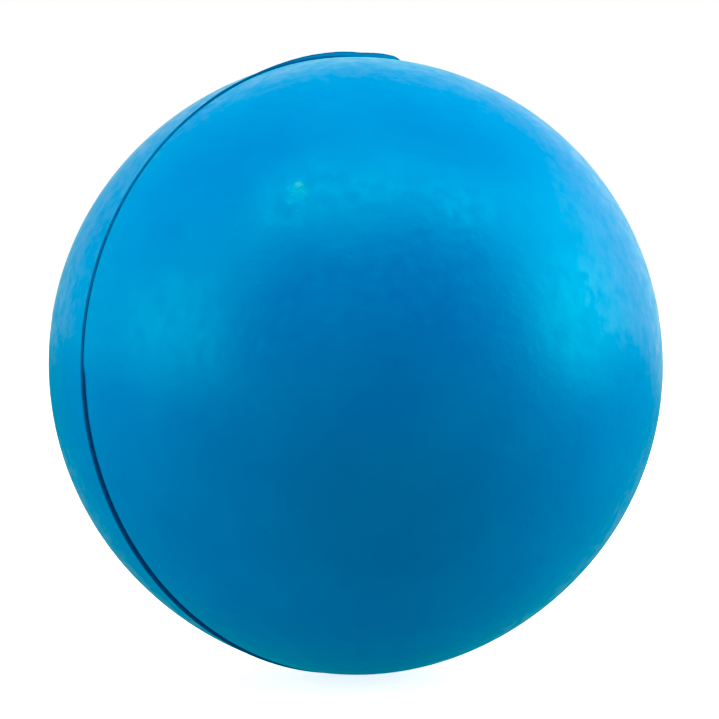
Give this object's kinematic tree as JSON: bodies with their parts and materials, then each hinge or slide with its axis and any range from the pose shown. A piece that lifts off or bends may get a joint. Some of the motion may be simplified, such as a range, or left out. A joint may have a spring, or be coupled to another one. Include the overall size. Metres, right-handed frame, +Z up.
{
  "type": "stress ball",
  "caption": "Round squeezable foam ball with a painted skin and a parting line round its middle, sprung so that it flattens between two pressing faces.",
  "frame": {"origin": "centre of the ball", "axes": "+Y from the front pole to the rear pole, square to the parting plane; +Z up, so the parting line stands upright"},
  "size_m": [0.0706, 0.07, 0.0706],
  "materials": {
    "paint": "satin",
    "skin": "satin",
    "foam": "matte",
    "flash": "matte"
  },
  "bodies": {
    "core": {"foam_core": "foam", "parting_flash": "flash"},
    "front_half": {"front_skin": "skin", "front_coat": "paint"},
    "rear_half": {"rear_skin": "skin", "rear_coat": "paint"}
  },
  "joints": [
    {"name": "front_squeeze", "type": "slide", "parent": "core", "child": "front_half", "axis": [0, 1, 0], "range_m": [0, 0.014], "stiffness_N_per_m": 2500, "deforming": ["front_coat", "front_skin", "foam_core", "parting_flash"]},
    {"name": "rear_squeeze", "type": "slide", "parent": "core", "child": "rear_half", "axis": [0, -1, 0], "range_m": [0, 0.014], "stiffness_N_per_m": 2500, "deforming": ["rear_coat", "rear_skin"]}
  ],
  "couplings": [
    {"joint": "rear_squeeze", "follows": "front_squeeze", "ratio": 1}
  ]
}
